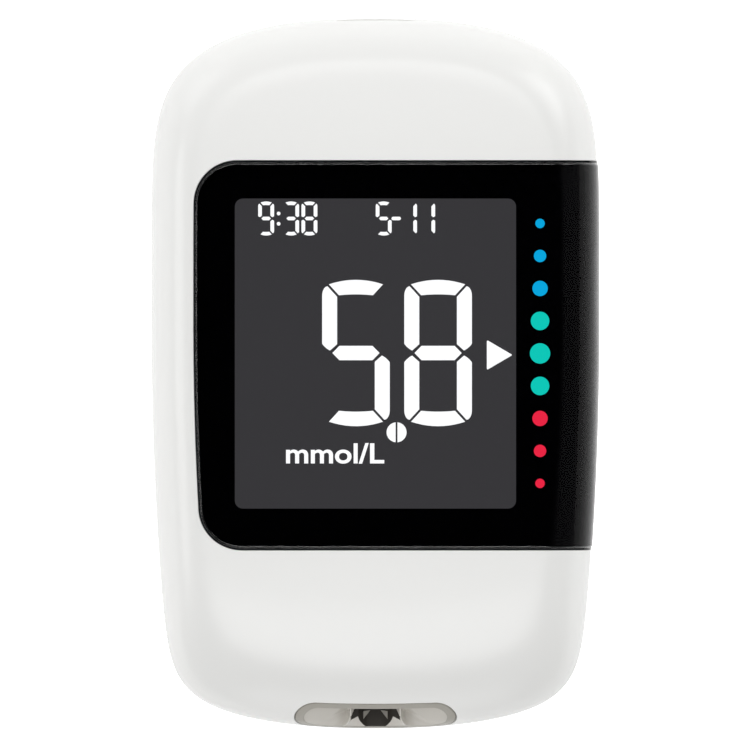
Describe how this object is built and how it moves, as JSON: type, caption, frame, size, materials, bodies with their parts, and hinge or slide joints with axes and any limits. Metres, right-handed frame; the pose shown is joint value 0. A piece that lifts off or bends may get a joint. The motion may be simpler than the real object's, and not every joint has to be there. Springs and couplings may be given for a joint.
{
  "type": "blood glucose meter",
  "caption": "Pocket blood glucose meter: rounded white shell, black wrap-round window, side keys, strip port with ejector, hinged battery door over coin cells.",
  "frame": {"origin": "on the flat back, under the middle of the meter's length and width", "axes": "+X to the right as the screen is read, +Y towards the top end, away from the strip port, +Z out of the screen"},
  "size_m": [0.0486, 0.0771, 0.0153],
  "materials": {
    "shell": "polished white moulding",
    "back_shell": "fine spark-eroded white moulding",
    "window": "polished smoked acrylic",
    "gasket": "soft black",
    "lcd": "dark polarised glass",
    "frame_plastic": "white moulding",
    "light_guide": "clear acrylic",
    "led": "phosphor yellow",
    "elastomer": "pink silicone with black layers",
    "circuit_board": "green solder mask",
    "chip": "black epoxy",
    "tin_can": "tinned steel",
    "ceramic_parts": "fired ceramic with tinned ends",
    "key": "satin dark grey",
    "plunger": "natural nylon",
    "port": "frosted translucent grey",
    "connector": "natural glass-filled nylon",
    "contact": "gold-plated bronze",
    "thumb": "dark grey, ribbed",
    "carriage": "grey acetal",
    "spring_steel": "bright wire",
    "cell": "nickel-plated steel",
    "screw": "zinc-plated steel"
  },
  "bodies": {
    "meter": {"front_housing": "shell", "rear_housing": "back_shell", "display_window": "window", "window_gasket": "gasket", "lcd_glass": "lcd", "lcd_holder": "frame_plastic", "backlight_guide": "light_guide", "backlight_leds": "led", "lcd_connector": "elastomer", "main_board": "circuit_board", "microcontroller": "chip", "radio_module": "tin_can", "crystal": "tin_can", "passive_components": "ceramic_parts", "up_switch": "tin_can", "down_switch": "tin_can", "strip_port": "port", "strip_connector": "connector", "strip_contacts": "contact", "ejector_spring": "spring_steel", "usb_socket": "tin_can", "usb_tongue": "chip", "battery_tray": "frame_plastic", "negative_contacts": "contact", "positive_contacts": "contact", "left_cell": "cell", "right_cell": "cell", "case_screws": "screw"},
    "up_button": {"up_key": "key", "up_plunger": "plunger"},
    "down_button": {"down_key": "key", "down_plunger": "plunger"},
    "ejector": {"ejector_thumb": "thumb", "ejector_carriage": "carriage"},
    "door": {"battery_door": "back_shell"}
  },
  "joints": [
    {"name": "up_key_press", "type": "slide", "parent": "meter", "child": "up_button", "axis": [-1, 0, 0], "range_m": [0, 0.00035], "stiffness_N_per_m": 400},
    {"name": "down_key_press", "type": "slide", "parent": "meter", "child": "down_button", "axis": [-1, 0, 0], "range_m": [0, 0.00035], "stiffness_N_per_m": 400},
    {"name": "ejector_slide", "type": "slide", "parent": "meter", "child": "ejector", "axis": [0, -1, 0], "range_m": [0, 0.004], "stiffness_N_per_m": 60, "deforming": ["ejector_spring"]},
    {"name": "battery_door_swing", "type": "hinge", "parent": "meter", "child": "door", "pos_m": [0, -0.0045, 0.00015], "axis": [-1, 0, 0], "range_deg": [0, 90]}
  ]
}
